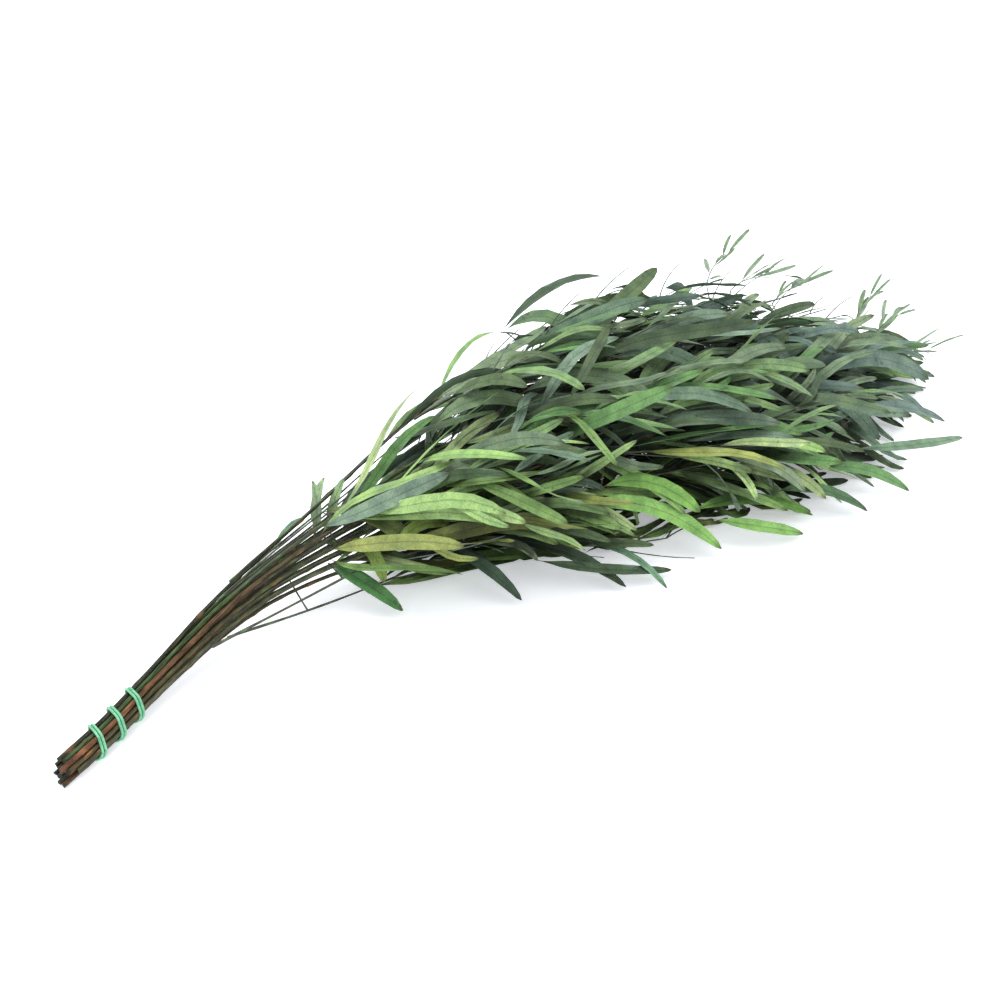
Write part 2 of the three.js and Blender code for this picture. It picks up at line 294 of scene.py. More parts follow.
# Preserved eucalyptus bark: a thin dry skin, matt with a faint waxy gloss, finely wrinkled
# lengthwise by drying, with pale raised pores (lenticels) under a millimetre across.
bark = new_material("preserved_eucalyptus_bark")
bark_plan = add_node(bark, "Attribute", attribute_name="bark_plan").outputs["Vector"]
bark_colour = add_node(bark, "Attribute", attribute_name="bark_colour").outputs["Color"]
wrinkle_place = add_node(bark, "Mapping", {"Vector": bark_plan, "Scale": (1.6, 0.09, 1.6)})
wrinkles = add_node(bark, "TexNoise", {
    "Vector": wrinkle_place, "Scale": 1.0, "Detail": 4.0, "Roughness": 0.6})
wrinkle_shade = add_node(bark, "ValToRGB", {"Fac": wrinkles},
                         stops=((0.34, grey(0.14)), (0.68, grey(1.2))))
blotches = add_node(bark, "TexNoise", {"Vector": bark_plan, "Scale": 0.12, "Detail": 3.0})
blotch_shade = add_node(bark, "ValToRGB", {"Fac": blotches},
                        stops=((0.35, grey(0.7)), (0.68, grey(1.25))))
pores = add_node(bark, "TexVoronoi", {"Vector": bark_plan, "Scale": 0.55, "Randomness": 1.0})
pore_mask = add_node(bark, "ValToRGB", {"Fac": pores}, stops=((0.14, grey(0.5)), (0.24, grey(0))))
wrinkled = add_node(bark, "Mix", {0: 1.0, 6: bark_colour, 7: wrinkle_shade}, **MULTIPLY)
blotched = add_node(bark, "Mix", {0: 1.0, 6: wrinkled, 7: blotch_shade}, **MULTIPLY)
pored = add_node(bark, "Mix", {0: pore_mask, 6: blotched, 7: linear("#756848")}, **BLEND)
bark_height = add_node(bark, "Math", {0: pore_mask, 1: 0.5, 2: wrinkles}, operation="MULTIPLY_ADD")
bark_bump = add_node(bark, "Bump", {"Height": bark_height, "Strength": 0.9, "Distance": 0.0006})
bark_gloss = add_node(bark, "MapRange", {"Value": wrinkles, "To Min": 0.48, "To Max": 0.75})
bark_shader = add_node(bark, "BsdfPrincipled", {
    "Base Color": pored, "Roughness": bark_gloss,
    "Normal": bark_bump, "IOR": 1.45, "Specular IOR Level": 0.2})
add_node(bark, "OutputMaterial", {"Surface": bark_shader})

# Cut eucalyptus wood: rough end grain, stained by the dye, darkest in the pith and at the bark.
cut_wood = new_material("cut_eucalyptus_wood")
cut_plan = add_node(cut_wood, "Attribute", attribute_name="bark_plan").outputs["Vector"]
cut_flat = add_node(cut_wood, "Mapping", {"Vector": cut_plan, "Scale": (1, 0, 1)})
from_pith = add_node(cut_wood, "VectorMath", {0: cut_flat}, operation="LENGTH")
rings = add_node(cut_wood, "ValToRGB", {"Fac": from_pith}, stops=(
    (0.12, linear("#3a2c1e")), (0.3, linear("#8a7350")),
    (0.8, linear("#6d5a3d")), (1.0, linear("#2f2a1e"))))
grain = add_node(cut_wood, "TexNoise", {"Vector": cut_plan, "Scale": 3.5, "Detail": 3.0})
grain_shade = add_node(cut_wood, "ValToRGB", {"Fac": grain},
                       stops=((0.3, grey(0.45)), (0.7, grey(1.2))))
stained = add_node(cut_wood, "Mix", {0: 1.0, 6: rings, 7: grain_shade}, **MULTIPLY)
cut_bump = add_node(cut_wood, "Bump", {"Height": grain, "Strength": 0.6, "Distance": 0.0004})
cut_shader = add_node(cut_wood, "BsdfPrincipled", {
    "Base Color": stained, "Roughness": 0.85, "Normal": cut_bump})
add_node(cut_wood, "OutputMaterial", {"Surface": cut_shader})

# The blank: a rod whose ends are inset to a rim of bark round the wood.
stem_blank = rod_blank("stem_blank", STEM_SIDES, STEM_CUTS)
pick(stem_blank, "polygons", lambda p: abs(p.normal.y) > 0.9)
bpy.ops.mesh.inset(thickness=0.1, use_individual=True)
bpy.ops.mesh.inset(thickness=0.6, use_individual=True)
bpy.ops.mesh.extrude_region_move(TRANSFORM_OT_translate={"value": (0, 0, 0)})
bpy.ops.mesh.merge(type="COLLAPSE")
bpy.ops.object.mode_set(mode="OBJECT")
bpy.ops.object.shade_smooth_by_angle(angle=math.radians(50))
stem_blank.data.materials.append(bark)
stem_blank.data.materials.append(cut_wood)
for polygon in stem_blank.data.polygons:
    polygon.material_index = int(abs(polygon.normal.y) > 0.9)

blank_points = points_of(stem_blank.data)
blank_angle = np.arctan2(blank_points[:, 2], blank_points[:, 0])
blank_reach = np.hypot(blank_points[:, 0], blank_points[:, 2])

for n, (_, _, thick, tip, kind) in enumerate(STEMS):
    dice = random.Random(100 + n)
    start, end = CUT_X + CUT_STAGGER * chance(n, 2), tip - TIP_SHOOT
    length = end - start
    route = np.array([stem_point(n, x) for x in np.linspace(start, end, STEM_STATIONS)])
    share = blank_points[:, 1]
    along = share * length
    radius = thick / 2 * STEM_SWELL * (1 + (STEM_END_SHARE - 1) * share)
    short_wave, long_wave = (np.sin(along / each + dice.uniform(0, 6)) for each in RIPPLE_LENGTHS)
    radius *= 1 + RIPPLE * short_wave * long_wave
    scarred = np.zeros(len(share))
    at = dice.uniform(*FIRST_SCAR)
    while at < length:
        facing = dice.uniform(0, 2 * math.pi)
        near = np.exp(-((along - at) / SCAR_REACH) ** 2)
        one_side = (0.5 + 0.5 * np.cos(blank_angle - facing)) ** 2
        size = dice.uniform(*SCAR_SIZE)
        radius *= 1 + near * (SCAR_RING + size * one_side)
        scarred = np.maximum(scarred, near * one_side * dice.uniform(0.1, 1.0))
        at += dice.uniform(*SCAR_SPACING)
    slant = math.tan(math.radians(dice.uniform(*CUT_SLANT)))
    slant_facing = dice.uniform(0, 2 * math.pi)
    at_cut = np.exp(-along / CUT_REACH) * blank_reach * np.cos(blank_angle - slant_facing)
    laid_share = share + at_cut * slant * thick / 2 / length
    across, over = blank_points[:, 0] * radius, blank_points[:, 2] * radius
    inside = np.clip(laid_share, 0, 1)
    points = lay(route, inside, across, over)
    forward = (route[1] - route[0]) / np.linalg.norm(route[1] - route[0])
    points += ((laid_share - inside) * length)[:, None] * forward
    points[:, 2] = np.maximum(points[:, 2], TABLE_GAP)
    stem = copy_of(stem_blank, f"stem_{n + 1:02d}_bark", points)

    low, high = (np.array(linear(c)) for c in BARKS[kind])
    fade = np.clip(along / BARK_FADE, 0, 1)[:, None]
    patch = np.sin(along / dice.uniform(*PATCH_LENGTHS) + dice.uniform(0, 6))
    patch *= np.sin(along / PATCH_TURN + 2 * blank_angle)
    patch = PATCH_SHARE * (0.5 + 0.5 * patch[:, None]) ** 2
    other = np.array(linear(dice.choice(PATCH_COLOURS)))
    scarred = SCAR_SHARE * scarred[:, None]
    mixed = low * (1 - fade) + high * fade
    mixed = mixed * (1 - patch) + other * patch
    mixed = mixed * (1 - scarred) + np.array(linear(SCAR_COLOUR)) * scarred
    note(stem.data, "bark_colour", "FLOAT_COLOR", mixed)
    plan = np.stack((across + 40 * n, along, over), axis=1)
    note(stem.data, "bark_plan", "FLOAT_VECTOR", plan)
    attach(stem, "root")
    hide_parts(f"stem_{n + 1:02d}")
bpy.data.objects.remove(stem_blank)


# ------------------------------------------------------------------------------ rubber band
# One mint-green rubber band of natural latex, cut from extruded tube, laid double and wound three
# times round the stems, so that its two strands show side by side. Its own stretch holds it.

BAND_X, BAND_TURNS, BAND_ADVANCE = -336, 3, 14.5  # its middle, and how far each turn moves on
BAND_RADIUS, STRAND_GAP, BAND_CORNER, BAND_CLEAR = 0.85, 0.2, 0.2, 0.3
BAND_START_TURN = 0.72  # on the underside
STEPS_PER_TURN, OUTLINE_STEPS = 56, 180
SLACK, SLACK_STEPS = 0.9, 3.5  # how far the two strands part where the band turns back
SMOOTHINGS = 3
RING_STEPS, RING_SIDES, RING_RADIUS = 640, 10, 2


def band_outline():
    """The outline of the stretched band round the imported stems, as points across and up."""
    reach = BAND_RADIUS + BAND_CORNER + BAND_CLEAR
    _, _, lane_spacing, row_spacing = course(BAND_X)
    outline = []
    for angle in np.linspace(0, 2 * math.pi, OUTLINE_STEPS, endpoint=False):
        away = np.array((math.cos(angle), math.sin(angle)))
        touches = [
            np.array((lane * lane_spacing, row * row_spacing)) + away * (thick / 2 + reach)
            for row, lane, thick, _, _ in STEMS
        ]
        outline.append(max(touches, key=lambda p: p @ away))
    return np.array(outline + outline[:1])


outline = band_outline()
walked = np.concatenate(((0,), np.cumsum(np.linalg.norm(np.diff(outline, axis=0), axis=1))))
strands = []
steps = BAND_TURNS * STEPS_PER_TURN
for sign in (-1, 1):
    strand = []
    for k in range(steps + 1):
        turns = k / STEPS_PER_TURN
        here = (turns + BAND_START_TURN) % 1 * walked[-1]
        across, up = (np.interp(here, walked, outline[:, c]) for c in (0, 1))
        x = BAND_X - BAND_ADVANCE * (turns - BAND_TURNS / 2)
        slack = math.exp(-min(k, steps - k) / SLACK_STEPS) * SLACK
        point = in_bunch(x, across, up)
        point[0] += sign * (BAND_RADIUS + STRAND_GAP / 2 + slack)
        point[2] = max(point[2], BAND_RADIUS)
        strand.append(point)
    strands.append(strand)
loop = np.array(strands[0] + strands[1][::-1])
for _ in range(SMOOTHINGS):
    loop = (np.roll(loop, 1, axis=0) + 2 * loop + np.roll(loop, -1, axis=0)) / 4
closed = np.concatenate((loop[-2:], loop, loop[:3]))

# Natural latex rubber, dipped and dyed: smooth and matt, with a little talc on it, paler where
# it is stretched over a corner.
latex = new_material("mint_latex_rubber")
latex_place = add_node(latex, "TexCoord").outputs["Object"]
talc = add_node(latex, "TexNoise", {
    "Vector": latex_place, "Scale": 900.0, "Detail": 4.0, "Roughness": 0.65})
talc_shade = add_node(latex, "ValToRGB", {"Fac": talc},
                      stops=((0.35, linear("#459a6c")), (0.7, linear("#85c29c"))))
stretch = add_node(latex, "TexNoise", {"Vector": latex_place, "Scale": 160.0, "Detail": 2.0})
stretch_shade = add_node(latex, "ValToRGB", {"Fac": stretch},
                         stops=((0.35, grey(0.82)), (0.65, grey(1.1))))
latex_colour = add_node(latex, "Mix", {0: 1.0, 6: talc_shade, 7: stretch_shade}, **MULTIPLY)
latex_bump = add_node(latex, "Bump", {"Height": talc, "Strength": 0.25, "Distance": 0.0002})
latex_shader = add_node(latex, "BsdfPrincipled", {
    "Base Color": latex_colour, "Roughness": 0.5, "IOR": 1.52,
    "Normal": latex_bump})
add_node(latex, "OutputMaterial", {"Surface": latex_shader})

# A ring whose turns follow the wound loop: it is added round, and its points are laid out.
bpy.ops.mesh.primitive_torus_add(
    major_segments=RING_STEPS, minor_segments=RING_SIDES, major_radius=RING_RADIUS, minor_radius=1)
band = bpy.context.object
band.name = "rubber_band_latex"
band.data.name = band.name
ring_points = points_of(band.data)
ring_share = (np.arctan2(ring_points[:, 1], ring_points[:, 0]) / (2 * math.pi)) % 1
ring_out = np.hypot(ring_points[:, 0], ring_points[:, 1]) - RING_RADIUS
ring_up = ring_points[:, 2]
loop_share = (ring_share * len(loop) + 2) / (len(closed) - 1)
band_points = lay(closed, loop_share, -ring_out * BAND_RADIUS, ring_up * BAND_RADIUS)
band.data.vertices.foreach_set("co", np.ravel(band_points) * MM)
bpy.ops.object.mode_set(mode="EDIT")
bpy.ops.mesh.select_all(action="SELECT")
bpy.ops.mesh.normals_make_consistent(inside=False)
bpy.ops.object.mode_set(mode="OBJECT")
bpy.ops.object.shade_smooth()
band.data.materials.append(latex)
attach(band, "root")
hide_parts("rubber_band")


# ------------------------------------------------------------------------------ leafy shoots
# Green shoots with their leaves: one ends each stem, and others leave it sideways. The leaves
# are long, sickle-shaped and leathery, dyed and preserved in glycerine, and each hangs on a
# short stalk. They leave the twig by turns to its left and right, point forward and droop.

# Side shoots by stem: the side (+1 is towards +Y), the start x, the length, the bare share, and
# how much further up than its row's own lift it leaves, in degrees.
SIDE_SHOOTS = (
    ((-1, -256, 190, 0.5, 0), (-1, -70, 130, 0, 0)),
    ((-1, -120, 130, 0, 0), (1, 40, 130, 0, 0)),
    ((1, -130, 140, 0, 0), (-1, 110, 130, 0, 0)),
    ((1, -60, 130, 0, 0),),
    ((-1, -270, 215, 0.55, 14),),
    ((-1, -150, 130, 0, 28), (-1, 80, 130, 0, 0)),
    ((1, -100, 140, 0, 0), (-1, 160, 120, 0, 14)),
    ((1, -20, 140, 0, 0), (1, 160, 120, 0, 0)),
    ((1, -110, 130, 0, 0), (1, 90, 130, 0, 0)),
    ((-1, -170, 120, 0, 0), (-1, 0, 130, 0, 0)),
    ((-1, -40, 140, 0, 14),),
    ((1, -80, 140, 0, 14), (-1, 120, 130, 0, 0)),
    ((1, -60, 130, 0, 0),),
    ((-1, -165, 120, 0, 0),),
    ((-1, -110, 130, 0, 0), (1, 20, 140, 0, 0)),
    ((-1, -90, 120, 0, 0),),
)
TOP_ROW, LOWEST_ROW_LIFT, TOP_ROW_LIFT = 3, -35, 15
TWIG_RADIUS, TWIG_END_RADIUS, TWIG_GAP = 1.0, 0.45, 0.3
LOWEST_SPINE = 2.0
OPENING, ROW_OPENING, SETTLING = 20, 24, 8  # how a side twig turns out, up and down, in degrees
SLIP_FROM, SLIP_STAGGER, SLIP_TO = -262, 34, -95  # the fine twigs between the stems
FIRST_LEAF_X, STRAY_FIRST_LEAF_X = -185, -125  # where the stems' own leaves begin
STALK_RADII, TWIGLET_RADII, SLIP_RADII, SPRIG_RADII = (0.6, 0.4), (0.55, 0.3), (0.8, 0.45), (0.5, 0.3)
TWIG_SIDES, TWIG_CUTS = 6, 17

# Leaves: how many, their lengths at the foot and tip of what bears them, and width by length.
SHOOT_LEAVES, LEAF_LENGTHS, LEAF_ASPECT = 17, (118, 64), 0.09
TWIGLETS_AT, TWIGLET_LEAVES, TWIGLET_LENGTHS, TWIGLET_ASPECT = (0.15, 0.37, 0.6, 0.82), 5, (80, 50), 0.095
STEM_LEAVES, STEM_LENGTHS, STEM_ASPECT = 20, (102, 98), 0.088
# Towards the far end's +Y side the leaves are shorter, and wider for their length.
SLENDER_X, SLENDER_Y, SHORTER, WIDER = (150, 260), (8, 38), 0.45, 0.025
LEAF_TRIES = 7
MOST_MISFIT = 14  # how badly a leaf may cut others or leave the outline before it is left out
MISFIT_PER_MM = 2.5  # what each millimetre beyond the outline counts for
LEAVES_LIE = math.radians(-26)  # the way that most leaves lie, about +Z
TWIG_SHARE, LIE_SHARE = 0.3, 0.7  # how much a leaf follows its twig, and how much that way
LOWEST_PITCH = math.radians(-6)  # how steeply a leaf may leave its twig downward
STRAY_LEAVES = 0.2  # the share of leaves that lie askew
MIDDLE_Y, HALF_WIDTH = -2, 90
OUTWARD_LEAN = 32  # how far a blade at the bunch's side turns its face outward, in degrees

# The bunch's outline, across its own slope: along it, then how far down its near side and up its
# far side the leaves reach there, in millimetres.
ALONG, DOWN = np.array((0.82, -0.57, 0)), np.array((-0.35, -0.50, -0.79))
OUTLINE = np.array((
    (-150, 40, -10), (-126, 52, -36), (-100, 56, -62), (-73, 56, -80), (-40, 48, -100), (-17, 42, -112),
    (16, 34, -130), (53, 31, -155), (82, 26, -163), (106, 20, -162), (136, 14, -160), (180, 6, -158),
    (217, 0, -146), (242, -10, -138), (276, -25, -134), (300, -42, -127), (312, -60, -118),
))

HIGHEST, FARTHEST = 138, 158  # in z and y
# How far towards -Y the leaves reach at each x.
NEAR_SIDE = np.array((
    (-200, -48), (-150, -66), (-60, -106), (60, -130), (200, -152), (300, -138), (345, -105),
))

# Leaves that stand out: base and tip, how far each arches up and sideways, its width and colour.
MARKED_LEAVES = (
    ((4, 60, 108), (50, 14, 92), 20, 5, 12, "#647d5b"),
    ((7, 65, 104), (-50, 60, 78), 12, -4, 10, "#8aac6d"),
    ((7, 68, 102), (103, 75, 114), 12, 3, 8, "#4d5e4b"),
    ((-179, 8, 45), (-166, 17, 80), 0, 4, 7, "#a9c096"),
    ((-172, 6, 46), (-156, 9, 80), 0, 3, 7, "#9db888"),
    ((-183, 8, 43), (-174, 19, 80), 0, -3, 6, "#a9bf9a"),
    ((-176, 5, 64), (-141, -50, 54), 8, 6, 12, "#6f7b49"),
    ((-184, -13, 38), (-150, -46, 4), 8, -4, 11, "#5f9058"),
    ((-171, -20, 56), (-163, -47, 36), 6, 4, 9, "#84984c"),
    ((-153, -45, 56), (-115, -50, 62), 6, 5, 9, "#8fa354"),
    ((-135, -22, 40), (-82, -83, 5), 10, 6, 10, "#485a4b"),
    ((-102, -44, 34), (-17, -111, 4), 12, 8, 10, "#4c5e49"),
    ((-63, -71, 22), (19, -115, 4), 4, -9, 8, "#556850"),
    ((-25, -76, 20), (5, -127, 3), 6, 6, 5, "#7fa386"),
    ((49, -97, 28), (137, -129, 6), 8, 7, 11, "#8cbc63"),
    ((61, -106, 22), (119, -138, 4), 5, -6, 9, "#93c06c"),
    ((-27, -70, 48), (56, -123, 10), 12, 9, 12, "#8fbb69"),
    ((-8, -69, 56), (49, -106, 34), 9, 8, 11, "#88b55f"),
    ((194, -106, 26), (299, -125, 5), 5, -10, 9, "#7c977d"),
    ((192, -97, 42), (280, -120, 24), 10, 8, 12, "#6f807c"),
    ((208, -58, 58), (293, -89, 40), 12, 9, 14, "#71837a"),
    ((181, -63, 54), (210, -117, 34), 8, 6, 10, "#66796a"),
    ((158, -111, 26), (215, -148, 5), 6, 5, 10, "#6f9562"),
    ((114, -112, 26), (173, -147, 5), 7, 5, 10, "#5f7f5c"),
    ((-97, -1, 100), (-26, -30, 100), 14, 8, 12, "#6e8262"),
    ((-33, -11, 108), (48, -54, 96), 12, 9, 12, "#74886a"),
    ((46, -7, 104), (109, -52, 84), 12, 8, 12, "#6a7f6c"),
    ((134, 9, 90), (187, -43, 70), 12, 8, 13, "#66796f"),
    ((-206, 19, 35), (-182, 24, 50), 2, 3, 4, "#6f9078"),
)

# Fine sprigs at the far end: where each starts and ends, and its leaves' length.
SPRIGS = (
    ((226, 90, 61), (270, 112, 66), 32), ((240, 76, 58), (283, 74, 56), 28),
    ((262, 50, 50), (318, 62, 44), 30), ((322, 12, 30), (368, 34, 30), 30),
    ((318, -12, 26), (366, 4, 26), 30), ((300, -34, 22), (356, -38, 16), 32),
)
SPRIG_LEAVES, SPRIG_COLOURS = 7, ("#93a58f", "#8ba183", "#9aab93", "#83987a")

# The painted shade inside the bunch, darkened into the leaves' own colours: the size of the cells
# that its depth is measured in, the depths where shade begins and is deepest, what is left of the
# colour there, and how far each way that light comes from leans towards +Y, in radians.
SHADE_CELL, SHADE_FROM, SHADE_TO, DEEPEST_SHADE = 7, 4, 24, 0.2
OPEN_SIDES = (0.0, -0.85, 0.85)

# The blade's outline: half its width, as a share of the widest, at each share of its length.
LEAF_OUTLINE = (
    (0, 0.05), (0.05, 0.06), (0.11, 0.28), (0.19, 0.62), (0.30, 0.88), (0.45, 0.99),
    (0.62, 1.0), (0.77, 0.96), (0.90, 0.76), (0.97, 0.44), (1.0, 0.06),
)
THINNEST = 0.12  # the least thickness, as a share of the blade's middle

# Leaf colours. Light leaves gather round one level of the bunch's slope, and bluish slate ones at
# its top and far end as a painted reflection of the bright room on their sheen. The shares say how
# many of the leaves there have them.
LIGHT_LEVEL, LIGHT_SPREAD, LIGHT_SHARE, SLATE_REFLECTION_SHARE = 14, 38, 0.85, 0.3
LIGHT_LEAVES = ("#a0be7a", "#a8c282", "#96b86f", "#aebf88", "#89a866", "#a2a964")
MID_LEAVES = ("#7f9a6c", "#75a062", "#7a9462", "#6b915a", "#7f9c68")
GREY_LEAVES = ("#7a8c72", "#829684", "#728974", "#88987a", "#76896c")
DARK_LEAVES = ("#5a6b4c", "#5a6b52", "#526549", "#607050")
SLATE_REFLECTION_LEAVES = ("#788d88", "#80948c", "#728680")
UPPER_LEAVES = (MID_LEAVES, MID_LEAVES, GREY_LEAVES, GREY_LEAVES, DARK_LEAVES)
LOWER_LEAVES = (DARK_LEAVES, MID_LEAVES)


def direction(heading, pitch):
    """The direction at an angle about +Z, raised by another."""
    level = math.cos(pitch)
    return np.array((level * math.cos(heading), level * math.sin(heading), math.sin(pitch)))


def heading_of(v):
    """A direction's angle about +Z."""
    return math.atan2(v[1], v[0])


def pitch_of(v):
    """How far a direction is raised."""
    return math.asin(v[2] / np.linalg.norm(v))


def resting(z, lowest=LOWEST_SPINE, softness=6.0):
    """Heights as they become where the surface holds a leaf or twig up."""
    return (z + lowest + np.hypot(z - lowest, softness)) / 2


def arched(base, length, heading, pitch, end_heading, end_pitch, count=13):
    """A line that leaves base in one direction and ends in another, resting on the surface."""
    middle = base + direction(heading, pitch) * length / 2
    end = middle + direction(end_heading, end_pitch) * length / 2
    t = np.linspace(0, 1, count)[:, None]
    line = (1 - t) ** 2 * base + 2 * t * (1 - t) * middle + t ** 2 * end
    line[1:, 2] = resting(line[1:, 2])
    return line


def spanned(base, tip, arch, aside):
    """A line between two points that rises and bends aside between them."""
    base, tip = np.array(base, float), np.array(tip, float)
    out = np.cross((0, 0, 1), tip - base)
    out /= np.linalg.norm(out)
    t = np.linspace(0, 1, 13)[:, None]
    return base + (tip - base) * t + 4 * t * (1 - t) * (np.array((0, 0, arch)) + out * aside)


def along_line(line, t):
    """The point and the direction at a share of a line."""
    k = clamped(t) * (len(line) - 1)
    whole = min(int(k), len(line) - 2)
    step = line[whole + 1] - line[whole]
    return line[whole] + (k - whole) * step, step / np.linalg.norm(step)


# Preserved eucalyptus leaf: leathery and matt with a faint waxy sheen. A fine darker midrib, side
# veins a few millimetres apart, blotches of uneven dye, dark spots, and brown tips and stalks.
leaf_skin = new_material("preserved_eucalyptus_leaf")
plan = add_node(leaf_skin, "Attribute", attribute_name="leaf_plan").outputs["Vector"]
leaf_share = add_node(leaf_skin, "Attribute", attribute_name="leaf_share").outputs["Fac"]
# Each leaf's own colour, with its painted slate reflection and the bunch's painted shade in it.
leaf_colour_with_painted_light = add_node(leaf_skin, "Attribute", attribute_name="leaf_colour_with_painted_light").outputs["Color"]
underside = add_node(leaf_skin, "Attribute", attribute_name="underside").outputs["Fac"]
plan_parts = add_node(leaf_skin, "SeparateXYZ", {"Vector": plan})
from_midrib = add_node(leaf_skin, "Math", {0: plan_parts.outputs["X"]}, operation="ABSOLUTE")
midrib = add_node(leaf_skin, "MapRange", {"Value": from_midrib, "From Min": 0.2, "From Max": 0.65,
                                          "To Min": 1.0, "To Max": 0.0}, interpolation_type="SMOOTHSTEP")
# Side veins leave the midrib forward at about 40 degrees, some 3 mm apart.
vein_phase = add_node(leaf_skin, "Math", {
    0: from_midrib, 1: -1.2, 2: plan_parts.outputs["Y"]}, operation="MULTIPLY_ADD")
vein_wander = add_node(leaf_skin, "TexNoise", {"Vector": plan, "Scale": 0.25, "Detail": 2.0})
vein_shift = add_node(leaf_skin, "Math", {0: vein_wander, 1: 5.0, 2: vein_phase},
                      operation="MULTIPLY_ADD")
vein_wave = add_node(leaf_skin, "Math", {0: vein_shift, 1: 2.1}, operation="MULTIPLY")
vein_sine = add_node(leaf_skin, "Math", {0: vein_wave}, operation="SINE")
veins = add_node(leaf_skin, "MapRange", {"Value": vein_sine, "From Min": 0.72, "From Max": 1.0,
                                         "To Min": 0.0, "To Max": 1.0})
dye = add_node(leaf_skin, "TexNoise", {"Vector": plan, "Scale": 0.09, "Detail": 4.0, "Roughness": 0.6})
dye_shade = add_node(leaf_skin, "ValToRGB", {"Fac": dye},
                     stops=((0.32, (0.50, 0.55, 0.54, 1)), (0.68, (0.98, 1.01, 0.89, 1))))
mottle = add_node(leaf_skin, "TexNoise", {"Vector": plan, "Scale": 0.8, "Detail": 3.0})
mottle_shade = add_node(leaf_skin, "ValToRGB", {"Fac": mottle},
                        stops=((0.3, grey(0.86)), (0.7, grey(1.12))))
dyed = add_node(leaf_skin, "Mix", {0: 1.0, 6: leaf_colour_with_painted_light, 7: dye_shade}, **MULTIPLY)
mottled = add_node(leaf_skin, "Mix", {0: 1.0, 6: dyed, 7: mottle_shade}, **MULTIPLY)
spot_cells = add_node(leaf_skin, "TexVoronoi", {"Vector": plan, "Scale": 0.16, "Randomness": 1.0})
spot_pick = add_node(leaf_skin, "TexNoise", {"Vector": plan, "Scale": 0.035, "Detail": 1.0})
spot_size = add_node(leaf_skin, "MapRange", {"Value": spot_pick, "From Min": 0.56, "From Max": 0.72,
                                             "To Min": 0.0, "To Max": 0.30})
spots = add_node(leaf_skin, "Math", {0: spot_cells, 1: spot_size}, operation="LESS_THAN")
near_tip = add_node(leaf_skin, "MapRange", {"Value": leaf_share, "From Min": 0.93, "From Max": 1.0})
near_stalk = add_node(leaf_skin, "MapRange", {
    "Value": leaf_share, "From Min": 0.03, "From Max": 0.12, "To Min": 1.0, "To Max": 0.0})
LEAF_MARKS = (  # where each lies, how strong it is and its colour
    (veins, 0.22, "#2f3f2a"), (midrib, 0.34, "#34402c"), (spots, 0.5, "#3b3a26"),
    (near_tip, 0.75, "#3a3a26"), (near_stalk, 0.8, "#4a3c2a"), (underside, 0.35, "#7d8f82"),
)
skin_colour = mottled
for mark, strength, tint in LEAF_MARKS:
    mask = add_node(leaf_skin, "Math", {0: mark, 1: strength}, operation="MULTIPLY")
    skin_colour = add_node(leaf_skin, "Mix", {0: mask, 6: skin_colour, 7: linear(tint)}, **BLEND)
leaf_height = add_node(leaf_skin, "Math", {0: veins, 1: -0.35, 2: mottle}, operation="MULTIPLY_ADD")
leaf_relief = add_node(leaf_skin, "Math", {0: midrib, 1: -0.8, 2: leaf_height},
                        operation="MULTIPLY_ADD")
leaf_bump = add_node(leaf_skin, "Bump", {"Height": leaf_relief, "Strength": 0.5, "Distance": 0.0004})
leaf_gloss = add_node(leaf_skin, "MapRange", {"Value": dye, "To Min": 0.42, "To Max": 0.62})
leaf_shader = add_node(leaf_skin, "BsdfPrincipled", {
    "Base Color": skin_colour, "Roughness": leaf_gloss,
    "Normal": leaf_bump, "IOR": 1.45, "Specular IOR Level": 0.22})
add_node(leaf_skin, "OutputMaterial", {"Surface": leaf_shader})

# Young twig bark: smooth, thin and dark, brown to green, with a faint gloss.
twig_bark = new_material("eucalyptus_twig_bark")
twig_plan = add_node(twig_bark, "Attribute", attribute_name="leaf_plan").outputs["Vector"]
twig_noise = add_node(twig_bark, "TexNoise", {"Vector": twig_plan, "Scale": 0.12, "Detail": 4.0})
twig_colour = add_node(twig_bark, "ValToRGB", {"Fac": twig_noise}, stops=(
    (0.3, linear("#1f2619")), (0.5, linear("#37382a")), (0.7, linear("#4c6338"))))
twig_fine = add_node(twig_bark, "TexNoise", {"Vector": twig_plan, "Scale": 1.6, "Detail": 2.0})
twig_bump = add_node(twig_bark, "Bump", {"Height": twig_fine, "Strength": 0.4, "Distance": 0.0003})
twig_shader = add_node(twig_bark, "BsdfPrincipled", {
    "Base Color": twig_colour, "Roughness": 0.55, "Normal": twig_bump})
add_node(twig_bark, "OutputMaterial", {"Surface": twig_shader})

# The leaf blank: a six-sided rod pressed flat into a folded blade, then narrowed ring by ring.
leaf_blank = rod_blank("leaf_blank", 6, (len(LEAF_OUTLINE) - 2,))
SECTION_MOVES = (
    (lambda c: c.z < -0.9, (0, 0, 0.93)),
    (lambda c: c.z > 0.9, (0, 0, -1.0)),
    (lambda c: c.x > 0.8 and -0.6 < c.z < -0.4, (0.134, 0, 0.64)),
    (lambda c: c.x < -0.8 and -0.6 < c.z < -0.4, (-0.134, 0, 0.64)),
    (lambda c: 0.8 < c.x < 0.9 and c.z > 0.4, (-0.366, 0, -0.40)),
    (lambda c: -0.9 < c.x < -0.8 and c.z > 0.4, (0.366, 0, -0.40)),
)
for wanted, move in SECTION_MOVES:
    pick(leaf_blank, "vertices", lambda v: wanted(v.co))
    bpy.ops.transform.translate(value=move)
rings_at = np.linspace(0, 1, len(LEAF_OUTLINE))
PARKED = 10  # each finished ring waits this far away, clear of the rings still to be picked
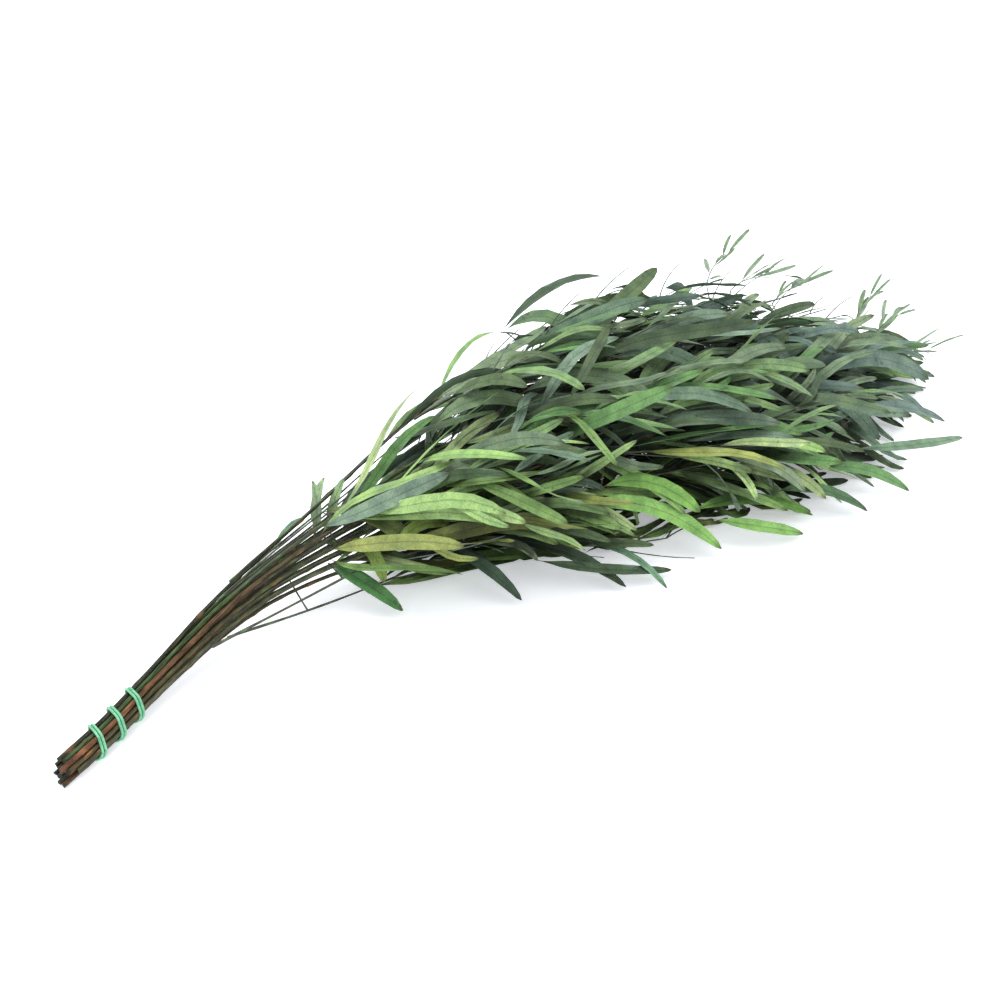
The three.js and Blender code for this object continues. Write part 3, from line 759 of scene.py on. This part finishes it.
for ring_at, (share, width) in reversed(list(zip(rings_at, LEAF_OUTLINE))):
    pick(leaf_blank, "vertices", lambda v: abs(v.co.y - ring_at) < 1e-3)
    bpy.ops.transform.resize(value=(width, 1, max(width, THINNEST)), center_override=(0, ring_at, 0))
    bpy.ops.transform.translate(value=(0, PARKED + share - ring_at, 0))
bpy.ops.mesh.select_all(action="SELECT")
bpy.ops.transform.translate(value=(0, -PARKED, 0))
bpy.ops.mesh.normals_make_consistent(inside=False)
bpy.ops.object.mode_set(mode="OBJECT")
bpy.ops.object.shade_smooth_by_angle(angle=math.radians(60))
leaf_blank.data.materials.append(leaf_skin)
faces_down = [float(p.normal.z < 0) for p in leaf_blank.data.polygons]
note(leaf_blank.data, "underside", "FLOAT", faces_down, "FACE")
leaf_points = points_of(leaf_blank.data)
leaf_faces = [tuple(p.vertices) for p in leaf_blank.data.polygons]

# The twig blank: a fine round rod.
twig_blank = rod_blank("twig_blank", TWIG_SIDES, (TWIG_CUTS,))
bpy.ops.object.mode_set(mode="OBJECT")
bpy.ops.object.shade_smooth_by_angle(angle=math.radians(70))
twig_blank.data.materials.append(twig_bark)
twig_points = points_of(twig_blank.data)

in_the_way = []  # (lowest corner, highest corner, tree) of each leaf so far


def leaf_shape(line, width, roll, twist, wave, wave_phase):
    """The leaf blank's points laid along a line."""
    share = leaf_points[:, 1]
    stations = np.linspace(0, 1, len(line))
    settle = 1 - np.exp(-np.maximum(line[:, 2], 0) / 14)
    across, over = leaf_points[:, 0] * width / 2, leaf_points[:, 2] * width / 2
    at_edge = np.abs(leaf_points[:, 0])
    over = over + wave * at_edge * np.sin(share * 17 + wave_phase + 1.5 * np.sign(leaf_points[:, 0]))
    points = lay(line, share, across, over, (roll + twist * stations) * settle)
    points[:, 2] = resting(points[:, 2], 0.25, 0.5)
    return points


def lean_at(y):
    """How far a blade at one side of the bunch turns its face outward, in degrees."""
    return min(max((y - MIDDLE_Y) / HALF_WIDTH, -1), 1) * OUTWARD_LEAN


def meets(points):
    """How many places a new leaf would cut through the leaves before it, and its own tree."""
    low, high = points.min(axis=0), points.max(axis=0)
    tree = BVHTree.FromPolygons(points.tolist(), leaf_faces)
    count = 0
    for other_low, other_high, other in in_the_way:
        if (low <= other_high).all() and (other_low <= high).all():
            count += len(tree.overlap(other))
    return count, (low, high, tree)


def beyond_outline(points):
    """How far a leaf would reach beyond the bunch's outline."""
    along, down = points @ ALONG, points @ DOWN
    near = np.interp(along, OUTLINE[:, 0], OUTLINE[:, 1])
    far = np.interp(along, OUTLINE[:, 0], OUTLINE[:, 2])
    beyond_end = along.max() - OUTLINE[-1, 0]
    beyond_top = max(points[:, 2].max() - HIGHEST, points[:, 1].max() - FARTHEST)
    beyond_side = (np.interp(points[:, 0], NEAR_SIDE[:, 0], NEAR_SIDE[:, 1]) - points[:, 1]).max()
    return max((down - near).max(), (far - down).max(), beyond_end, beyond_top, beyond_side, 0)


def colour_at(place, dice):
    """A leaf's colour: light on the near lower side, grey on top, and bluish slate, a painted reflection,
    high at the far end.
    """
    x, y, z = place
    level = DOWN[0] * x + DOWN[1] * y + DOWN[2] * z
    light = math.exp(-((level - LIGHT_LEVEL) / LIGHT_SPREAD) ** 2) * clamped((200 - x) / 50)
    # Painted reflection: bluish slate leaves stand for the bright room mirrored on the top of the far
    # end.
    slate = clamped((x - 40) / 150) * clamped((-60 - level) / 30)
    roll = dice.random()
    if roll < LIGHT_SHARE * light:
        family = LIGHT_LEAVES
    elif roll < LIGHT_SHARE * light + SLATE_REFLECTION_SHARE * slate:
        family = SLATE_REFLECTION_LEAVES
    else:
        family = dice.choice(UPPER_LEAVES if level < 51 else LOWER_LEAVES)
    colour = np.array(linear(dice.choice(family)))
    shade = dice.uniform(0.82, 1.12)
    return np.append(colour[:3] * shade, 1.0)


def plan_of(across, along, dice):
    """Each point's place on the flat leaf or twig, with a number that sets it apart from others."""
    return np.stack((across, along, np.full(len(across), dice.uniform(0, 900))), axis=1)


def add_leaf(name, points, colour, width, length, dice):
    """A leaf at points already laid out, with what its material reads."""
    piece = copy_of(leaf_blank, name, points)
    plan = plan_of(leaf_points[:, 0] * width / 2, leaf_points[:, 1] * length, dice)
    note(piece.data, "leaf_plan", "FLOAT_VECTOR", plan)
    note(piece.data, "leaf_share", "FLOAT", leaf_points[:, 1])
    note(piece.data, "leaf_colour_with_painted_light", "FLOAT_COLOR", np.broadcast_to(colour, (len(leaf_points), 4)))
    return piece


def grow_leaf(name, base, along, turn, length, width, dice):
    """One leaf that finds its way between those before it, or None where there is no room."""
    best = None
    if dice.random() < STRAY_LEAVES:
        turn += math.radians(dice.choice((-1, 1)) * dice.uniform(15, 45))
    for attempt in range(LEAF_TRIES):
        spread = 1 + 0.35 * attempt
        lie = TWIG_SHARE * heading_of(along) + LIE_SHARE * LEAVES_LIE
        heading = lie + turn + math.radians(dice.uniform(-10, 10) * spread)
        pitch = max(pitch_of(along), LOWEST_PITCH) + math.radians(dice.uniform(-12, 16) * spread)
        sickle = math.radians(dice.uniform(-40, 36)) - 0.6 * turn
        droop = math.radians(dice.uniform(16, 62))
        line = arched(base, length, heading, pitch, heading + sickle, pitch - droop)
        sway = np.sin(np.linspace(0, 2 * math.pi, len(line))) * dice.uniform(-0.05, 0.05) * length
        line[:, :2] += sway[:, None] * direction(heading + math.pi / 2, 0)[:2]
        roll = math.radians(lean_at(base[1]) + dice.uniform(-26, 26) * spread)
        twist = math.radians(dice.uniform(-50, 50))
        points = leaf_shape(line, width, roll, twist, dice.uniform(0.1, 0.5), dice.uniform(0, 6))
        count, entry = meets(points)
        misfit = count + MISFIT_PER_MM * beyond_outline(points)
        if best is None or misfit < best[0]:
            best = (misfit, entry, points)
        if misfit == 0:
            break
    misfit, entry, points = best
    if misfit > MOST_MISFIT:
        return None
    in_the_way.append(entry)
    return add_leaf(name, points, colour_at(points.mean(axis=0), dice), width, length, dice)


def add_twig(name, line, radii, dice):
    """A twig along a line, of one radius at its foot and another at its tip."""
    radius, end_radius = radii
    share = twig_points[:, 1]
    length = np.linalg.norm(np.diff(line, axis=0), axis=1).sum()
    swell = 1 + 0.12 * np.sin(share * length / 2.2 + dice.uniform(0, 6))
    thickness = (radius + (end_radius - radius) * share) * swell
    points = lay(line, share, twig_points[:, 0] * thickness, twig_points[:, 2] * thickness)
    points[:, 2] = np.maximum(points[:, 2], TABLE_GAP)
    piece = copy_of(twig_blank, name, points)
    plan = plan_of(twig_points[:, 0] * thickness, share * length, dice)
    note(piece.data, "leaf_plan", "FLOAT_VECTOR", plan)
    return piece


def side_twig(n, side, x, length, extra_lift):
    """The twig that leaves stem n at x, beside the stem, and bends back to its direction."""
    row, _, thick, tip, _ = STEMS[n]
    start, end = CUT_X, tip - TIP_SHOOT
    along = stem_point(n, x + 0.5) - stem_point(n, x - 0.5)
    along /= np.linalg.norm(along)
    lift = math.radians(LOWEST_ROW_LIFT + (TOP_ROW_LIFT - LOWEST_ROW_LIFT) * row / TOP_ROW + extra_lift)
    out = np.cross((0, 0, 1), along) * side
    out /= np.linalg.norm(out)
    up = np.cross(along, np.cross((0, 0, 1), along))
    out = out * math.cos(lift) + up / np.linalg.norm(up) * math.sin(lift)
    radius = thick / 2 * (1 + (STEM_END_SHARE - 1) * (x - start) / (end - start))
    foot = stem_point(n, x) + out * (radius + TWIG_RADIUS + TWIG_GAP)
    opened = math.radians(OPENING) * side * math.cos(lift)
    raised = math.radians(ROW_OPENING) * math.sin(lift)
    heading, pitch = heading_of(along), pitch_of(along)
    return arched(foot, length, heading + opened, pitch + raised,
                  heading + opened * 0.5, pitch - math.radians(SETTLING), 15)


def twig_leaves(name, line, bare, count, lengths, aspect, dice):
    """Leaves by turns to the left and right of a line."""
    made = []
    for j in range(count):
        share = (j + dice.uniform(0.3, 0.7)) / count
        base, along = along_line(line, bare + (1 - bare) * share)
        length = (lengths[0] + (lengths[1] - lengths[0]) * share) * dice.uniform(0.8, 1.15)
        turn = math.radians(dice.uniform(10, 30)) * (1 if j % 2 else -1)
        if j + 1 == count:
            turn *= 0.2
        made.append(grow_leaf(f"{name}_leaf_{j}", base, along, turn, length,
                              length * aspect * dice.uniform(0.85, 1.2), dice))
    return [leaf for leaf in made if leaf]


def slip_point(n, x):
    """A place at x between stem n's lane and the next, where a fine dead twig runs."""
    row, lane = STEMS[n][:2]
    _, _, lane_spacing, row_spacing = course(x)
    return in_bunch(x, (lane + 0.5) * lane_spacing, (row + 0.5) * row_spacing)


# Each shoot's name, its twig's line, the bare share of that, and a tip shoot's two other lines:
# its stem's, which bears leaves too, and its fine twig's.
shoot_plans = []
for n, (_, _, _, tip, _) in enumerate(STEMS):
    wood_end = tip - TIP_SHOOT
    first_leaf = STRAY_FIRST_LEAF_X if n == STRAY_STEM else FIRST_LEAF_X
    slip_start = SLIP_FROM + SLIP_STAGGER * chance(n, 5)
    tip_line = np.array([stem_point(n, x) for x in np.linspace(wood_end + TWIG_GAP, tip, 15)])
    stem_line = np.array([stem_point(n, x) for x in np.linspace(first_leaf, wood_end, 40)])
    slip_line = np.array([slip_point(n, x) for x in np.linspace(slip_start, SLIP_TO, 24)])
    shoot_plans.append((f"shoot_{n + 1:02d}_tip", tip_line, 0.0, stem_line, slip_line))
    for k, (side, x, length, bare, lift) in enumerate(SIDE_SHOOTS[n]):
        line = side_twig(n, side, x, length, lift)
        shoot_plans.append((f"shoot_{n + 1:02d}_side_{k + 1}", line, bare, None, None))

extra_parts = {plan[0]: [] for plan in shoot_plans}  # what marked leaves and sprigs add to each


def nearest_shoot(place):
    """The shoot whose twig passes nearest to a place, and the point of its twig that does."""
    found = []
    for node_name, line, _, _, _ in shoot_plans:
        away = np.linalg.norm(line - place, axis=1)
        found.append((away.min(), node_name, line[away.argmin()]))
    return min(found)[1:]


def add_stalk(name, place, dice):
    """A fine twig from the nearest shoot to a place; returns that shoot's parts."""
    node_name, start = nearest_shoot(np.array(place, float))
    parts = extra_parts[node_name]
    parts.append(add_twig(f"{name}_stalk", spanned(start, place, 2, 1), STALK_RADII, dice))
    return parts


dice = random.Random(7)
for k, (base, tip, arch, aside, width, colour) in enumerate(MARKED_LEAVES):
    parts = add_stalk(f"marked_{k}", base, dice)
    line = spanned(base, tip, arch, aside)
    length = np.linalg.norm(np.diff(line, axis=0), axis=1).sum()
    roll = math.radians(lean_at(min(base[1], 0) - 45) + dice.uniform(-8, 8))
    points = leaf_shape(line, width, roll, math.radians(dice.uniform(-25, 25)), 0.3, k)
    in_the_way.append(meets(points)[1])
    parts.append(add_leaf(f"marked_{k}", points, linear(colour), width, length, dice))
for k, (start, end, length) in enumerate(SPRIGS):
    parts = add_stalk(f"sprig_{k}", start, dice)
    line = spanned(start, end, 3, 3)
    parts.append(add_twig(f"sprig_{k}_twig", line, SPRIG_RADII, dice))
    for j in range(SPRIG_LEAVES):
        base, along = along_line(line, 0.1 + j / SPRIG_LEAVES + dice.uniform(-0.05, 0.05))
        turn = math.radians(dice.uniform(2, 36)) * (1 if j % 2 else -1) * (j < SPRIG_LEAVES - 1)
        heading, pitch = heading_of(along) + turn, math.radians(dice.uniform(-6, 26))
        leaf_length = length * dice.uniform(0.8, 1.4)
        end_pitch = pitch - math.radians(dice.uniform(0, 30))
        leaf_line = arched(base, leaf_length, heading, pitch, heading - turn * 0.6, end_pitch)
        width = leaf_length * dice.uniform(0.09, 0.12)
        roll, twist = math.radians(dice.uniform(-30, 30)), math.radians(dice.uniform(-40, 40))
        points = leaf_shape(leaf_line, width, roll, twist, 0.2, j)
        in_the_way.append(meets(points)[1])
        colour = linear(dice.choice(SPRIG_COLOURS))
        parts.append(add_leaf(f"sprig_{k}_{j}", points, colour, width, leaf_length, dice))

shoots = []
for seed, (node_name, line, bare, stem_line, slip_line) in enumerate(shoot_plans):
    dice = random.Random(1000 + seed)
    parts = [add_twig(node_name + "_twig", line, (TWIG_RADIUS * 0.95, TWIG_END_RADIUS), dice)]
    parts += extra_parts[node_name]
    slender = 1
    for value, (least, most) in zip(line[-1], (SLENDER_X, SLENDER_Y)):
        slender *= clamped((value - least) / (most - least))
    reach, wider = 1 - SHORTER * slender, WIDER * slender
    lengths = [each * reach for each in LEAF_LENGTHS]
    twiglet_lengths = [each * reach for each in TWIGLET_LENGTHS]
    parts += twig_leaves(node_name, line, bare, SHOOT_LEAVES, lengths, LEAF_ASPECT + wider, dice)
    for k, share in enumerate(TWIGLETS_AT):
        base, along = along_line(line, bare + (1 - bare) * share)
        heading = heading_of(along) + math.radians(dice.uniform(18, 40)) * (1 if k % 2 else -1)
        pitch = pitch_of(along) + math.radians(dice.uniform(-5, 22))
        twiglet = arched(base, dice.uniform(45, 70), heading, pitch, heading * 0.5, pitch - 0.2, 9)
        parts.append(add_twig(f"{node_name}_twiglet_{k}", twiglet, TWIGLET_RADII, dice))
        parts += twig_leaves(f"{node_name}_twiglet_{k}", twiglet, 0.1, TWIGLET_LEAVES, twiglet_lengths,
                             TWIGLET_ASPECT + wider, dice)
    if stem_line is not None:
        parts.append(add_twig(f"{node_name}_slip", slip_line, SLIP_RADII, dice))
        parts += twig_leaves(f"{node_name}_stem", stem_line, 0.0, STEM_LEAVES, STEM_LENGTHS,
                             STEM_ASPECT, dice)
    bpy.ops.object.select_all(action="DESELECT")
    for part in parts:
        part.select_set(True)
    bpy.context.view_layer.objects.active = parts[0]
    bpy.ops.object.join()
    shoot = bpy.context.object
    shoot.name = f"{node_name}_leaves"
    shoot.data.name = shoot.name
    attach(shoot, "root")
    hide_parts(node_name)
    shoots.append(shoot)

# Painted shade: leaves deep in the bunch have their colours darkened, each point by how much lies
# over it, seen from above and from either side.
places = [points_of(shoot.data) / MM for shoot in shoots]
every_place = np.concatenate(places)
buried = np.full(len(every_place), np.inf)
for tilt in OPEN_SIDES:
    across = every_place[:, 1] * math.cos(tilt) - every_place[:, 2] * math.sin(tilt)
    over = every_place[:, 1] * math.sin(tilt) + every_place[:, 2] * math.cos(tilt)
    cell = (np.stack((every_place[:, 0], across), axis=1) / SHADE_CELL).astype(int)
    cell -= cell.min(axis=0) - 1
    top = np.full(cell.max(axis=0) + 2, over.min())
    np.maximum.at(top, (cell[:, 0], cell[:, 1]), over)
    around = [np.roll(top, (a, b), (0, 1)) for a in (-1, 0, 1) for b in (-1, 0, 1)]
    top = 0.5 * top + 0.5 * np.mean(around, axis=0)
    buried = np.minimum(buried, top[cell[:, 0], cell[:, 1]] - over)
shade = 1 - (1 - DEEPEST_SHADE) * np.clip((buried - SHADE_FROM) / (SHADE_TO - SHADE_FROM), 0, 1)
for shoot in shoots:
    own, shade = np.split(shade, (len(shoot.data.vertices),))
    stored = shoot.data.attributes["leaf_colour_with_painted_light"].data
    colours = np.empty(len(own) * 4)
    stored.foreach_get("color", colours)
    colours.reshape(-1, 4)[:, :3] *= own[:, None]
    stored.foreach_set("color", colours)
bpy.data.objects.remove(leaf_blank)
bpy.data.objects.remove(twig_blank)


# ------------------------------------------------------------------------------ studio
# A matt white table top that glows faintly, a painted glow that lifts the shadows on it and lights
# the leaves from below, and wide soft lamps overhead, so that the shadows stay faint.

paper = new_material("white_table_with_painted_glow")
paper_place = add_node(paper, "TexCoord").outputs["Object"]
paper_grain = add_node(paper, "TexNoise", {"Vector": paper_place, "Scale": 14.0, "Detail": 3.0})
paper_shade = add_node(paper, "ValToRGB", {"Fac": paper_grain},
                       stops=((0.3, linear("#f7f8fb")), (0.7, linear("#fbfbfc"))))
# Painted light: the table top glows a little, though it is no lamp, to brighten its own shadows.
paper_glow_shader = add_node(paper, "BsdfPrincipled", {
    "Base Color": paper_shade, "Roughness": 0.9, "Specular IOR Level": 0.1,
    "Emission Color": linear("#fbfcff"), "Emission Strength": 0.3})
add_node(paper, "OutputMaterial", {"Surface": paper_glow_shader})

bpy.ops.object.select_all(action="DESELECT")
bpy.ops.mesh.primitive_plane_add(size=12)
floor = bpy.context.object
floor.name = "table_top"
floor.data.materials.append(paper)

world = bpy.data.worlds.new("soft_room")
bpy.context.scene.world = world
world.use_nodes = True
sky = world.node_tree.nodes["Background"]
sky.inputs["Color"].default_value = linear("#f4f7fc")
sky.inputs["Strength"].default_value = 1.25

LAMPS = (  # name, place, power in watts, size in metres
    ("overhead_softbox", (-0.4, 0.5, 1.9), 29, 1.4),
    ("side_softbox", (0.9, -1.5, 1.3), 12, 1.4),
)
for lamp_name, place, power, size in LAMPS:
    lamp_data = bpy.data.lights.new(lamp_name, "AREA")
    lamp_data.energy = power
    lamp_data.size = size
    lamp = bpy.data.objects.new(lamp_name, lamp_data)
    lamp.location = place
    lamp.rotation_euler = (-Vector(place)).to_track_quat("-Z", "Y").to_euler()
    bpy.context.scene.collection.objects.link(lamp)

CAMERA_TARGET = Vector((-0.0285, 0.018, -0.0004))
CAMERA_AZIMUTH, CAMERA_ELEVATION, CAMERA_DISTANCE = math.radians(-35), math.radians(38), 1.0
back = Vector((
    math.sin(CAMERA_AZIMUTH) * math.cos(CAMERA_ELEVATION),
    -math.cos(CAMERA_AZIMUTH) * math.cos(CAMERA_ELEVATION),
    math.sin(CAMERA_ELEVATION),
))
camera_data = bpy.data.cameras.new("camera")
camera_data.lens = 50
camera_data.sensor_width = 36
camera = bpy.data.objects.new("camera", camera_data)
camera.location = CAMERA_TARGET + back * CAMERA_DISTANCE
camera.rotation_euler = (-back).to_track_quat("-Z", "Y").to_euler()
bpy.context.scene.collection.objects.link(camera)
bpy.context.scene.camera = camera
bpy.context.scene.view_settings.view_transform = "Standard"
